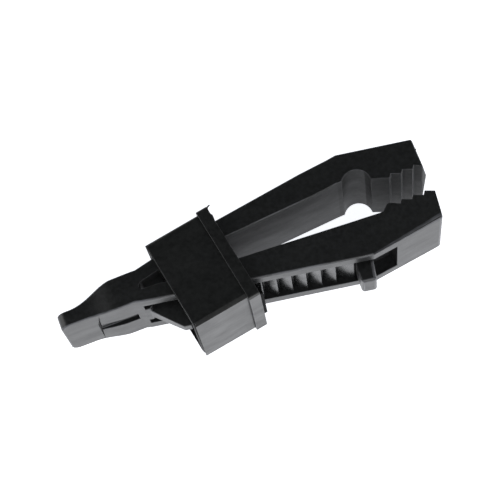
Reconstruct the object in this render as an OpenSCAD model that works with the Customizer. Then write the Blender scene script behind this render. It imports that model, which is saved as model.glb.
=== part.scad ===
// Sliding-collar spring clamp, lying on the side of its collar.
// X runs from the finger tab towards the jaws, Y across the two arms and Z
// up through their width. The origin is at the middle of the clamp's outline,
// on the surface that it lies on. Places along the clip are measured from the
// root of the slit between the arms, and placed() brings them to the origin.

/* [Clip arms] */
// Distance from the root of the slit to the tips of the jaws
jaw_reach = 71.6; // [70:0.1:75]
// Width of the arms at the middle plane
arm_w = 22.3; // [20:0.1:24]
// Draft of the side faces, in degrees
side_draft = 2; // [0.5:0.1:3]
// Half height of the slit at its root, if the upper face ran on straight
slit_up = 1.65; // [1.5:0.05:1.9]
// Half height of the slit root, lower side
slit_low = 1.45; // [1.3:0.05:1.6]
// Thickness of the upper arm at its root
root_up = 2.45; // [2.35:0.05:2.75]
// Thickness of the lower arm at its root
root_low = 3.05; // [3:0.05:3.4]
// Slope of the upper inner face, in degrees
in_up = 4.6; // [4.2:0.1:5]
// Slope of the lower inner face, in degrees
in_low = 3.1; // [2.8:0.1:3.4]
// Slope of the upper outer face, in degrees
out_up = 9.0; // [8.8:0.1:9.4]
// Slope of the lower outer face, in degrees
out_low = 9.6; // [9.3:0.1:9.9]
// Distance of the upper bend from the slit root
bend_up = 53.4; // [52:0.1:56]
// Distance of the lower bend from the slit root
bend_low = 52.9; // [52.6:0.1:55]
// Inward slope of the upper jaw's back, in degrees
head_up = 9.4; // [8:0.1:11]
// Inward slope of the lower jaw's back, in degrees
head_low = 8.0; // [7:0.1:10]

// Draft of the plain arm's inner face from one side to the other, in degrees
core_draft = 2; // [0.5:0.1:2]

/* [Jaws] */
// Pitch of the jaw teeth
tooth_pitch = 2.85; // [2.7:0.05:2.9]
// Slope of the long tooth faces, in degrees
tooth_slope = 22; // [20:0.5:23]
// Length of the short tooth faces along X
tooth_rise = 0.6; // [0.4:0.05:0.8]
// Length of the foremost tooth along X
nose_l = 2.85; // [2.4:0.05:3]
// Number of full teeth on each jaw
tooth_count = 3; // [2:1:3]
// Height of the upper tooth tips over the middle plane
tip_up = 2.45; // [2.4:0.05:2.9]
// Depth of the lower tooth roots under the middle plane
root_low_y = 4.25; // [4.1:0.05:4.6]
// Height of the lower jaw's first tooth over its roots
lead_h = 1.2; // [0.9:0.05:1.3]
// Radius of the round seat in the upper jaw
seat_r = 3.5; // [3:0.1:3.8]
// Distance of the round seat from the slit root
seat_x = 55.4; // [55.2:0.1:55.9]
// Height of the centre of the round seat
seat_y = 4.0; // [3.8:0.05:4.5]
// Slope of the land between the round seat and the teeth, in degrees
land_slope = 20; // [19:0.5:22]
// Bevel on the outer tip corners
tip_bevel = 0.5; // [0.3:0.05:0.8]
// Reach of the upper jaw's nose past the lower jaw's, at the middle plane
nose_over = 1.1; // [0.6:0.05:1.3]
// Drop of the upper jaw's front from the middle plane to each side
nose_bulge = 1.5; // [1:0.05:1.7]

/* [Ratchet channel] */
// Width of the channel in the lower arm's back
channel_w = 14.4; // [13.8:0.1:15]
// Depth of the channel
channel_deep = 2.5; // [2.2:0.05:2.6]
// Depth of the channel where it starts
channel_lip = 0.9; // [0.6:0.05:1.3]
// Start of the channel, from the slit root
channel_x0 = -0.6; // [-0.8:0.1:-0.3]
// Length of the run-in with the sloping floor
channel_run = 7.8; // [7.6:0.1:8.2]
// Depth of the channel in the lower jaw
pocket_deep = 3.3; // [2.8:0.1:3.4]
// End wall of the channel, from the slit root
channel_x1 = 59.0; // [58:0.1:61]
// Pitch of the ratchet ribs
rib_pitch = 3.5; // [3.3:0.05:3.55]
// Number of regular ratchet ribs
rib_count = 10; // [8:1:10]
// Height of the ratchet ribs
rib_h = 1.2; // [0.9:0.05:1.25]
// Width of each rib's crest
rib_top = 0.4; // [0.3:0.05:0.6]
// Foot of each rib's steep face
rib_foot = 0.25; // [0.15:0.05:0.35]
// Place of the last regular rib's steep face
rib_x = 43.7; // [43.4:0.1:44]
// Height of the long ramp beside the stop peg
end_rib_h = 0.95; // [0.7:0.05:1.3]

/* [Stop peg and ramp fin] */
// Place of the stop peg, from the slit root
peg_x = 48.7; // [48.2:0.1:48.7]
// Length of the stop peg along the arm
peg_l = 4.2; // [3.6:0.1:4.2]
// Width of the stop peg
peg_w = 8.6; // [7:0.1:10]
// Height of the stop peg over the arm's back
peg_h = 4.0; // [3:0.1:4.2]
// Bevel round the peg's end
peg_bevel = 0.5; // [0.3:0.05:0.7]
// Lean of the peg's back face over its height
peg_lean = 0.5; // [0.3:0.05:0.6]
// Lean of the peg's front face over its height
peg_front_lean = 0.1; // [0.05:0.05:0.5]
// Lean of the peg's side faces over their height
peg_side_lean = 0.2; // [0.1:0.05:0.3]
// Start of the fin's ramp, from the slit root
fin_x0 = 0.5; // [0.2:0.1:0.9]
// Place of the fin's steep face
fin_x1 = 9.35; // [8.6:0.05:9.35]
// Height of the fin over the arm's back
fin_h = 5.1; // [4.5:0.1:5.3]
// Thickness of the fin at its crest
fin_t = 3.4; // [3:0.1:4]
// Thickness of the fin at its foot
fin_foot = 5.2; // [4.6:0.1:5.6]
// Width of the land that the fin rises from
land_w = 8.4; // [7:0.1:9]
// Height of the land's front edge over the arm's back
land_drop = 0.6; // [0.4:0.1:0.8]
// Flat length of the fin's crest
fin_crest = 2.05; // [1.4:0.05:2.5]
// Bevel at the fin's tip
fin_bevel = 0.3; // [0.2:0.05:0.4]

/* [Tail] */
// Length of the finger tab behind the slit root
tail_l = 20.2; // [18.5:0.1:22]
// Width of the tab's end
tab_w = 18.8; // [17:0.1:20]
// Thickness of the tab's end
tab_t = 3.7; // [3.4:0.1:4.5]
// Drop of the tab's end under the middle plane
tab_drop = 1.3; // [1:0.1:2]
// Corner radius of the tab's end
tab_r = 2.2; // [1.5:0.1:2.6]
// Flat length of the tab's upper face before it rises
top_flat = 3.2; // [2.5:0.1:4]
// Length over which the upper face rises
top_rise = 11.5; // [9:0.5:13]
// Flat length of the tab's lower face before it drops
low_flat = 6.0; // [5:0.1:6.5]
// Length over which the lower face drops
low_drop = 9.0; // [7:0.5:10]
// Length of the tab's narrow end before its sides widen
side_flat = 6.5; // [5.5:0.1:7]
// Length over which the sides widen
side_grow = 9.0; // [7:0.5:10]

// Step from the tab's belly down to the ratchet arm's back
belly_step = 0.5; // [0.3:0.05:0.6]
// Length of the recess under the tab
recess_l = 9.5; // [8:0.1:11]
// Width of the recess under the tab
recess_w = 4.0; // [3:0.1:5]
// Depth of the recess under the tab
recess_deep = 1.2; // [0.8:0.1:1.4]
// Distance of the recess behind the slit root
recess_end = 2.5; // [2.3:0.1:2.8]

/* [Flexing root] */
// Drop of the plain arm's back at its root, under its straight line
root_dip = 0.75; // [0.5:0.05:0.9]
// Length over which the back reaches its straight line
dip_l = 9.0; // [8:0.1:10]
// Drop of the plain arm's inner face at its root, under its straight line
root_fill = 1.2; // [0.9:0.05:1.25]
// Length over which the inner face reaches its straight line
fill_l = 7.5; // [6:0.1:8]
// Corner radius at the root of the slit
slit_r = 0.7; // [0.4:0.05:0.75]
// Running gap round the root of the upper arm
root_gap = 0.25; // [0.2:0.05:0.3]

/* [Collar] */
// Gap between the sides of the arms and the collar
side_gap = 0.35; // [0.3:0.05:0.8]
// Gap between the ratchet arm's back and the collar's floor, at its front
floor_gap = 2.0; // [1.8:0.05:2.4]
// Length of the collar's plain barrel
collar_l = 14.1; // [13.6:0.05:14.5]
// Length of the collar's front flange
flange_l = 2.85; // [2.5:0.05:3.2]
// Height of the flange over the barrel
flange_lip = 0.65; // [0.5:0.05:0.9]
// Thickness of the collar's upper wall
wall_top = 2.3; // [1.9:0.05:2.4]
// Thickness of the collar's lower wall
wall_low = 2.0; // [1.7:0.05:2.1]
// Thickness of the collar's side walls
wall_w = 1.2; // [1.1:0.05:1.6]
// Running gap between the collar and the upper arm
collar_gap = 0.4; // [0.3:0.05:0.45]
// Distance of the collar's back rim from the slit root
collar_x = 5.65; // [5.5:0.05:6.1]
// Slope of the collar, in degrees
collar_tilt = 10; // [9.8:0.1:10.2]
// Length of the slope that ends the collar's lower wall at its back rim
rim_slope = 0.8; // [0.5:0.05:0.9]
// Bevel of the collar's back rim at its sides and top
rim_ease = 0.3; // [0.2:0.05:0.5]
// Corner radius of the collar's outline
collar_r = 0.7; // [0.4:0.05:1]
// Height of the catch inside the lower wall
catch_h = 1.2; // [0.8:0.05:1.25]
// Length of the catch under the wall
catch_l = 2.0; // [1.6:0.1:2.4]
// Reach of the catch's lip past the flange
catch_lip = 1.2; // [0.6:0.05:1.3]
// Width of the catch's lip
lip_w = 16.2; // [14.8:0.1:18]
// Thickness of the catch's lip
lip_t = 1.35; // [1:0.05:1.4]
// Side gap between the catch and the channel
catch_side = 0.5; // [0.3:0.05:0.8]
// Length of the catch's flat crest
catch_crest = 0.5; // [0.3:0.05:0.8]
// Lean of the catch's steep face
catch_lean = 0.2; // [0.1:0.05:0.3]

/* [Hidden] */

black = [0.09, 0.09, 0.095];
soft_black = [0.13, 0.13, 0.135];
collar_w = arm_w + 2*side_gap + 2*wall_w;
mid_z = collar_w/2 + flange_lip;
deep_all = 2*mid_z;

// Faces of the two arms at a distance x from the slit root
function up_in(x) = slit_up + x*tan(in_up);
function up_out(x) = slit_up + root_up + x*tan(out_up);
function low_in(x) = -slit_low - x*tan(in_low);
function low_out(x) = -slit_low - root_low - x*tan(out_low);
function up_back(x) = up_out(bend_up) - (x - bend_up)*tan(head_up);
function low_back(x) = low_out(bend_low) + (x - bend_low)*tan(head_low);
// A smooth step from a to b while t runs from 0 to 1
function blend(a, b, t) = let (c = min(1, max(0, t))) a + (b - a)*c*c*(3 - 2*c);

// The root of the upper arm turns about this point
root_x = 0.45;
root_out = up_out(root_x) - root_dip;
root_in = up_in(root_x) - root_fill;
root_low_in = root_in - arm_w*tan(core_draft);
root_y = (root_out + root_low_in)/2;
root_r = (root_out - root_low_in)/2;
dip_x = root_x + dip_l;
fill_x = root_x + fill_l;

// Middle of the whole outline: tab to jaw tips, and peg tip to upper bend
peg_tip_s = peg_x/cos(out_low) + peg_l - peg_front_lean - peg_bevel;
peg_tip_y = low_out(0) - peg_tip_s*sin(out_low) - peg_h*cos(out_low);
out_x = (jaw_reach + nose_over - tail_l)/2;
out_y = (up_out(bend_up) + peg_tip_y)/2;

module placed() {
    translate([-out_x, -out_y, 0]) children();
}

// Limits between the regions of the clip
cut_tab = -4;
cut_arm = 8.4;
cut_up = seat_x - seat_r - 0.6;

// ---------- profiles of the clip, seen from above ----------

// The finger tab is curved like a flat S and narrows to its end
tab_steps = 14;
tab_belly = low_out(0) + belly_step;
function tab_top(x) = blend(tab_t/2 - tab_drop, root_out, (x + tail_l - top_flat)/top_rise);
function tab_low(x) = blend(-tab_t/2 - tab_drop, tab_belly, (x + tail_l - low_flat)/low_drop);
function tab_half(x) = blend(tab_w/2, arm_w/2, (x + tail_l - side_flat)/side_grow);
function station(i) = -tail_l + i*(tail_l + cut_tab)/tab_steps;

tooth_fall = (tooth_pitch - tooth_rise)*tan(tooth_slope);
nose_fall = (nose_l - tooth_rise)*tan(tooth_slope);
function tooth_x(i) = jaw_reach - nose_l - i*tooth_pitch;
face_lean = 0.7;
last = tooth_count - 1;
lead_x = tooth_x(last) - 2.4;

module base_profile() {
    polygon(concat(
        [for (i = [0:tab_steps]) [station(i), tab_low(station(i))]],
        [[-2, tab_low(-2)], [channel_x0, low_out(channel_x0)],
         [bend_low, low_out(bend_low)],
         [jaw_reach - face_lean - tip_bevel, low_back(jaw_reach - face_lean - tip_bevel)],
         [jaw_reach - face_lean, low_back(jaw_reach - face_lean) + tip_bevel/2],
         [jaw_reach, -root_low_y + tooth_fall - nose_fall]],
        [for (i = [0:last]) each
            [[tooth_x(i) + tooth_rise, -root_low_y + tooth_fall], [tooth_x(i), -root_low_y]]],
        [[lead_x, -root_low_y + lead_h], [lead_x - 0.6, -root_low_y + lead_h - 0.15],
         [lead_x - 1.9, low_in(lead_x - 1.9) + 0.15], [lead_x - 2.8, low_in(lead_x - 2.8)]],
        [for (a = [0:15:90])
            [slit_r*(1 - sin(a)), low_in(slit_r) + slit_r*(1 - cos(a))]],
        [[0, root_low_in], [root_x, root_low_in], [root_x, root_out]],
        [for (i = [tab_steps:-1:0]) [station(i), tab_top(station(i))]]));
}

// The plain arm's back and front, left open on the inner side
module upper_back() {
    front = jaw_reach + nose_over;
    polygon([[root_x, root_out], [dip_x, up_out(dip_x)], [bend_up, up_out(bend_up)],
        [front - tip_bevel, up_back(front - tip_bevel)],
        [front, up_back(front) - tip_bevel], [front, -deep_all], [root_x, -deep_all]]);
}

// The plain arm's inner face with its teeth, left open on the outer side
module upper_face() {
    front = jaw_reach + nose_over + 1;
    polygon(concat(
        [[root_x, deep_all], [root_x, root_in], [fill_x, up_in(fill_x)], [cut_up, up_in(cut_up)],
         [seat_x, up_in(seat_x)], [seat_x, tip_up + (tooth_x(last) - seat_x)*tan(land_slope)],
         [tooth_x(last), tip_up]],
        [for (i = [last:-1:0]) each
            [[tooth_x(i), tip_up], [tooth_x(i) + tooth_rise, tip_up + tooth_fall]]],
        [[jaw_reach - 0.5, tip_up + tooth_fall - nose_fall],
         [jaw_reach + nose_over, tip_up + tooth_fall - nose_fall + 0.6],
         [front, tip_up + tooth_fall - nose_fall + 0.6], [front, deep_all]]));
}

// ---------- shared solids ----------

// Extrudes a profile seen from above through the whole width
module through() {
    translate([0, 0, -1]) linear_extrude(deep_all + 2) children();
}

// Extrudes a profile seen from above along a line that leans from side to side
module cored() {
    translate([0, 0, mid_z + arm_w/2]) rotate([-core_draft, 0, 0])
        translate([0, 0, -2*deep_all]) linear_extrude(3*deep_all) children();
}

// Both side faces lean inwards from the middle plane to the backs of the arms
module drafted(x0, x1) {
    reach = deep_all;
    h = arm_w/2;
    t = reach*tan(side_draft);
    translate([x0, 0, mid_z]) rotate([90, 0, 90]) linear_extrude(x1 - x0)
        polygon([[0, h], [-reach, h - t], [-reach, t - h], [0, -h], [reach, t - h], [reach, h - t]]);
}

// Places its children on the back of the lower arm: X along it, Y into the arm
module on_back() {
    translate([0, low_out(0), 0]) rotate(-out_low) children();
}

function along(x) = x/cos(out_low);
chan_s0 = along(channel_x0);
chan_s1 = chan_s0 + channel_run;
function floor_at(s) = min(channel_deep,
    channel_lip + (channel_deep - channel_lip)*(s - chan_s0)/channel_run);

module channel() {
    translate([0, 0, mid_z - channel_w/2]) linear_extrude(channel_w) {
        on_back() polygon([[chan_s0, -2], [chan_s0, channel_lip], [chan_s1, channel_deep],
            [along(bend_low), channel_deep], [along(bend_low), -2]]);
        translate([bend_low, low_out(bend_low)]) rotate(head_low)
            translate([0, -2]) square([(channel_x1 - bend_low)/cos(head_low), 2 + pocket_deep]);
    }
}

module base_region(x0, x1) {
    difference() {
        intersection() {
            through() base_profile();
            drafted(x0, x1);
        }
        channel();
        translate([root_x, root_y, -1]) cylinder(h = deep_all + 2, r = root_r + root_gap, $fn = 96);
    }
}

// ---------- the clip: tab, root, lower arm and lower jaw ----------

module finger_tab() {
    color(black) placed() difference() {
        intersection() {
            through() base_profile();
            drafted(-tail_l - 1, cut_tab);
            translate([0, deep_all, mid_z]) rotate([90, 0, 0]) linear_extrude(2*deep_all)
                polygon(concat(
                    [for (a = [0:15:90]) [tab_r - tail_l - tab_r*cos(a), tab_half(-tail_l) - tab_r
                        + tab_r*sin(a)]],
                    [for (i = [3:tab_steps]) [station(i), tab_half(station(i))]],
                    [for (i = [tab_steps:-1:3]) [station(i), -tab_half(station(i))]],
                    [for (a = [90:-15:0]) [tab_r - tail_l - tab_r*cos(a), tab_r - tab_half(-tail_l)
                        - tab_r*sin(a)]]));
        }
        tab_recess();
    }
}

module tab_recess() {
    translate([-recess_end - recess_l, tab_belly - tab_t, mid_z - recess_w/2])
        cube([recess_l, tab_t + recess_deep, recess_w]);
}

module spring_root() {
    color(black) placed() difference() {
        base_region(cut_tab, cut_arm);
        tab_recess();
    }
}

module lower_arm() {
    color(black) placed() base_region(cut_arm, bend_low);
}

module lower_jaw() {
    color(black) placed() base_region(bend_low, jaw_reach + 1);
}

// ---------- ratchet, stop peg and ramp fin on the lower arm's back ----------

module ratchet_ribs() {
    color(soft_black) placed() translate([0, 0, mid_z - channel_w/2]) linear_extrude(channel_w)
        on_back() for (i = [0:rib_count - 1]) {
            s = along(rib_x) - i*rib_pitch;
            polygon([[s - rib_pitch + 2*rib_foot, channel_deep], [s - rib_top, channel_deep - rib_h],
                [s, channel_deep - rib_h], [s + rib_foot, channel_deep]]);
        }
}

module end_ramp() {
    s0 = along(rib_x) + 2*rib_foot;
    s1 = along(peg_x) - rib_foot;
    l = s1 - rib_foot - s0;
    color(soft_black) placed() translate([0, 0, mid_z - channel_w/2]) linear_extrude(channel_w)
        on_back() polygon(concat([[s1, channel_deep]],
            [for (a = [90:-15:0]) [s0 + l*a/90, channel_deep - end_rib_h*sin(a)]]));
}

module stop_peg() {
    s0 = along(peg_x);
    s1 = s0 + peg_l;
    b = peg_bevel;
    tip0 = s0 + peg_lean;
    tip1 = s1 - peg_front_lean;
    half = peg_w/2;
    tip_half = half - peg_side_lean;
    color(soft_black) placed() intersection() {
        through() on_back() polygon([[s0, channel_deep], [s0, 0], [tip0, b - peg_h],
            [tip0 + b, -peg_h], [tip1 - b, -peg_h], [tip1, b - peg_h], [s1, 0],
            [s1, channel_deep]]);
        translate([0, 0, mid_z]) on_back() rotate([90, 0, 90]) linear_extrude(s1 + 1)
            polygon([[channel_deep, half], [0, half], [b - peg_h, tip_half],
                [-peg_h, tip_half - b], [-peg_h, b - tip_half], [b - peg_h, -tip_half],
                [0, -half], [channel_deep, -half]]);
    }
}

module ramp_fin() {
    s0 = along(fin_x0);
    s1 = along(fin_x1);
    land = s0 + land_drop;
    color(soft_black) placed() {
        intersection() {
            through() on_back() polygon([[chan_s0, channel_lip], [chan_s0, 0], [s0, 0],
                [s1 - fin_crest, -fin_h], [s1 - fin_bevel, -fin_h], [s1, fin_bevel - fin_h],
                [s1, floor_at(s1)], [chan_s1, channel_deep]]);
            translate([0, 0, mid_z]) on_back() rotate([90, 0, 90])
                translate([0, 0, chan_s0 - 1]) linear_extrude(s1 - chan_s0 + 2)
                polygon([[channel_deep, fin_foot/2], [0, fin_foot/2], [-fin_h, fin_t/2],
                    [-fin_h, -fin_t/2], [0, -fin_foot/2], [channel_deep, -fin_foot/2]]);
        }
        translate([0, 0, mid_z - land_w/2]) linear_extrude(land_w) on_back()
            polygon([[chan_s0, channel_lip], [chan_s0, 0], [s0, 0], [land, land_drop],
                [land, floor_at(land)]]);
    }
}

// ---------- the upper arm, which flexes at its root ----------

module upper_region(x0, x1) {
    intersection() {
        through() upper_back();
        difference() {
            cored() upper_face();
            translate([0, 0, mid_z + arm_w/2]) rotate([-core_draft, 0, 0])
                translate([seat_x, seat_y, -2*deep_all]) cylinder(h = 3*deep_all, r = seat_r, $fn = 96);
        }
        drafted(x0, x1);
    }
}

module upper_arm() {
    color(black) placed() {
        upper_region(root_x, cut_up);
        intersection() {
            translate([root_x, root_y, 0]) cylinder(h = deep_all, r = root_r, $fn = 96);
            drafted(root_x - root_r - 1, root_x);
        }
    }
}

// The nose is fullest at the middle plane, where the two halves of the mould meet
module upper_jaw() {
    front = jaw_reach + nose_over;
    side = front - nose_bulge;
    color(black) placed() intersection() {
        upper_region(cut_up, front + 1);
        translate([0, deep_all, mid_z]) rotate([90, 0, 0]) linear_extrude(2*deep_all)
            polygon([[0, -arm_w/2], [side, -arm_w/2], [front, 0], [side, arm_w/2],
                [0, arm_w/2]]);
    }
}

// ---------- the sliding collar ----------

// Height of the upper arm's back in the collar's own tilted axes
arm_y0 = slit_up + root_up;
function arm_v(u) = arm_y0*cos(collar_tilt)
    + (u - arm_y0*sin(collar_tilt))*tan(out_up - collar_tilt);
top_in = arm_v(collar_x) + collar_gap;
top_out = top_in + wall_top;
flange_x = collar_x + collar_l;
front_x = flange_x + flange_l;
// Height of the ratchet arm's back in the same axes
arm_y1 = low_out(0);
function back_v(u) = arm_y1*cos(collar_tilt)
    - (u - arm_y1*sin(collar_tilt))*tan(out_low + collar_tilt);
low_floor = back_v(front_x) - floor_gap;
low_wall = low_floor - wall_low;
collar_h = top_out - low_wall;

module in_collar() {
    placed() translate([0, 0, mid_z]) rotate(collar_tilt) children();
}

// A rectangle with round corners, given by two opposite corners
module round_box(y0, z0, y1, z1, r) {
    translate([y0 + r, z0]) square([y1 - y0 - 2*r, z1 - z0]);
    translate([y0, z0 + r]) square([y1 - y0, z1 - z0 - 2*r]);
    for (y = [y0 + r, y1 - r], z = [z0 + r, z1 - r]) translate([y, z]) circle(r, $fn = 32);
}

module sleeve(u0, l, lip) {
    translate([u0, 0, 0]) rotate([90, 0, 90]) linear_extrude(l) difference() {
        round_box(low_wall - lip, -collar_w/2 - lip, top_out + lip, collar_w/2 + lip, collar_r);
        round_box(low_floor, wall_w - collar_w/2, top_in, collar_w/2 - wall_w, 0.4);
    }
}

// Cuts the back corners of a side view from a0 to a1: the first by d along and w across
module rim_cut(a0, d, w, a1) {
    polygon([[collar_x, a0 + w], [collar_x + d, a0], [flange_x, a0], [flange_x, a1],
        [collar_x + rim_ease, a1], [collar_x, a1 - rim_ease]]);
}

module collar_barrel() {
    color(black) in_collar() intersection() {
        sleeve(collar_x, collar_l, 0);
        translate([0, 0, -collar_w]) linear_extrude(2*collar_w) rim_cut(low_wall, rim_slope, wall_low, top_out);
        rotate([90, 0, 0]) translate([0, 0, -collar_h]) linear_extrude(3*collar_h)
            rim_cut(-collar_w/2, rim_ease, rim_ease, collar_w/2);
    }
}

module collar_flange() {
    color(black) in_collar() sleeve(flange_x, flange_l, flange_lip);
}

module collar_catch() {
    w = channel_w - 2*catch_side;
    back = front_x - catch_l;
    tip = front_x + catch_lip;
    color(soft_black) in_collar() {
        translate([0, 0, -w/2]) linear_extrude(w)
            polygon([[back, low_floor], [back + catch_lean, low_floor + catch_h],
                [back + catch_lean + catch_crest, low_floor + catch_h], [tip, low_floor],
                [tip, low_floor - lip_t], [front_x, low_floor - lip_t], [front_x, low_floor]]);
        translate([0, 0, -lip_w/2]) linear_extrude(lip_w)
            translate([front_x, low_floor - lip_t]) square([catch_lip, lip_t]);
    }
}

finger_tab();
spring_root();
lower_arm();
lower_jaw();
ratchet_ribs();
end_ramp();
stop_peg();
ramp_fin();
upper_arm();
upper_jaw();
collar_barrel();
collar_flange();
collar_catch();
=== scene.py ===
# %% [markdown]
# # A sliding-collar spring clamp, dressed in Blender
# The clamp is two mouldings in black plastic. One is a clip whose two arms
# spring apart, with teeth at the jaws, ratchet ribs in a channel and a finger
# tab behind. The other is a square collar that slides forward over the arms
# and squeezes them shut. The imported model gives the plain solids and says
# which body each one rides on, so this script adds what a drawing leaves out:
# softened edges, the web that bends, the skin of the plastic, and the light.

import math

import bmesh
import bpy
from mathutils import Matrix, Vector


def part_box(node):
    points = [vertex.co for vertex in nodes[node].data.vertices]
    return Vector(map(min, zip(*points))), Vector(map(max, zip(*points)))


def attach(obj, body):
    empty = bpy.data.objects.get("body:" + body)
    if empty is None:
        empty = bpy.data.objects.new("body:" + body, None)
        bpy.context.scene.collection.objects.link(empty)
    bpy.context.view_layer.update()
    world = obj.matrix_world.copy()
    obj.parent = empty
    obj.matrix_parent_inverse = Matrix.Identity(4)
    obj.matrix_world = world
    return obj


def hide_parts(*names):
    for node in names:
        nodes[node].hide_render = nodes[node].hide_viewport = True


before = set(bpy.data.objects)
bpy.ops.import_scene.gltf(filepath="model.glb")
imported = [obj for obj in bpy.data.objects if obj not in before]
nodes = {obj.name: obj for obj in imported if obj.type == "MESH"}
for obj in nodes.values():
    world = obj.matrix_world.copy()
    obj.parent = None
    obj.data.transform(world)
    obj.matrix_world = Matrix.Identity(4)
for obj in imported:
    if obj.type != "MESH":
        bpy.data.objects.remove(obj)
scene = bpy.context.scene
bpy.context.view_layer.update()
MM = 0.001

# %% [markdown]
# ## The camera
# The view looks down on the lying clamp, a little from the side of the
# ratchet arm. The camera is given by its place and by the three directions
# that run to its right, up and out of its back, which is how a matrix stores
# a turned object. A long lens keeps the two arms nearly parallel.

# %% Place the camera
IMAGE = 500
FOCAL_PIXELS = 1800
SENSOR = 36.0
cam_data = bpy.data.cameras.new("camera")
cam_data.sensor_width = SENSOR
cam_data.lens = FOCAL_PIXELS / IMAGE * SENSOR
cam_data.clip_start, cam_data.clip_end = 0.01, 20
camera = bpy.data.objects.new("camera", cam_data)
scene.collection.objects.link(camera)
right = Vector((0.934672, -0.348045, -0.072479))
up = Vector((0.353017, 0.884509, 0.304995))
back = Vector((-0.042044, -0.310657, 0.949592))
turned = Matrix((right, up, back)).transposed().to_4x4()
camera.matrix_world = Matrix.Translation((-0.01678, -0.127977, 0.41685)) @ turned
scene.camera = camera
print("lens mm:", round(cam_data.lens, 1),
      "distance mm:", round(camera.location.length / MM))

# %% [markdown]
# ## Colours and nodes
# Colours are written as sRGB hex, the way a paint program shows them, and one
# function turns them to the linear numbers that Blender's light needs. A
# second small function adds a shader node, sets its values and wires it up,
# so that each material below reads as a list of its layers.

# %% Helpers for colours and shader nodes
def linear(hex_colour):
    """An sRGB hex colour as linear red, green, blue and alpha."""
    parts = [int(hex_colour[i:i + 2], 16) / 255 for i in (1, 3, 5)]
    return [c / 12.92 if c <= 0.04045 else ((c + 0.055) / 1.055) ** 2.4
            for c in parts] + [1.0]


def add(tree, kind, settings=None, **sockets):
    """Adds a node. settings are its properties, and sockets are input values
    or (node, output) pairs to link; Socket_Name stands for 'Socket Name' and
    at_2 for the third socket."""
    node = tree.nodes.new(kind)
    for key, value in (settings or {}).items():
        setattr(node, key, value)
    for key, value in sockets.items():
        name = key.replace("_", " ")
        if name.startswith("at "):
            socket = node.inputs[int(name[3:])]
        else:
            socket = node.inputs[name]
        if isinstance(value, tuple) and isinstance(value[0], bpy.types.Node):
            tree.links.new(value[0].outputs[value[1]], socket)
        else:
            socket.default_value = value
    return node


print("near black #17181A is", [round(c, 4) for c in linear("#17181A")[:3]])

# %% [markdown]
# ## The black plastic
# A glass-free nylon comes out of the mould nearly black, with the fine grain
# of a spark-eroded cavity. Five things make it more than a flat colour: the
# grain, which is a bump a third of a millimetre across; a cloudy tint about a
# millimetre across, where the pigment is not quite mixed; slow streaks in the
# gloss along the piece, where the melt flowed and froze; the faces that a
# core formed instead of the polished cavity, which are duller; and rounded
# corners painted lighter, partly for the rubbing of fingers and partly as a
# painted highlight along the edges. Every pattern reads Object coordinates in
# metres, so the scales are given per metre and hold the same size on each
# piece. The last two read face attributes, the dullness and the lightened
# corners, which the meshes below carry.

# %% A function for the moulded plastic
PER_METRE = 1 / MM
# How often each pattern repeats in a millimetre
FLOW_SCALE, GRAIN_SCALE, CLOUD_SCALE = 0.3, 3.2, 1.1
# What full dullness adds to the roughness, and the depth of the bump in mm
DULL_ADDS, BUMP_DEPTH = 0.2, 0.02


def grey_range(tree, fac, low, high, low_at, high_at):
    """Maps a value between two places to a value between two others."""
    return add(tree, "ShaderNodeMapRange", None, Value=fac, From_Min=low_at,
               From_Max=high_at, To_Min=low, To_Max=high)


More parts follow.
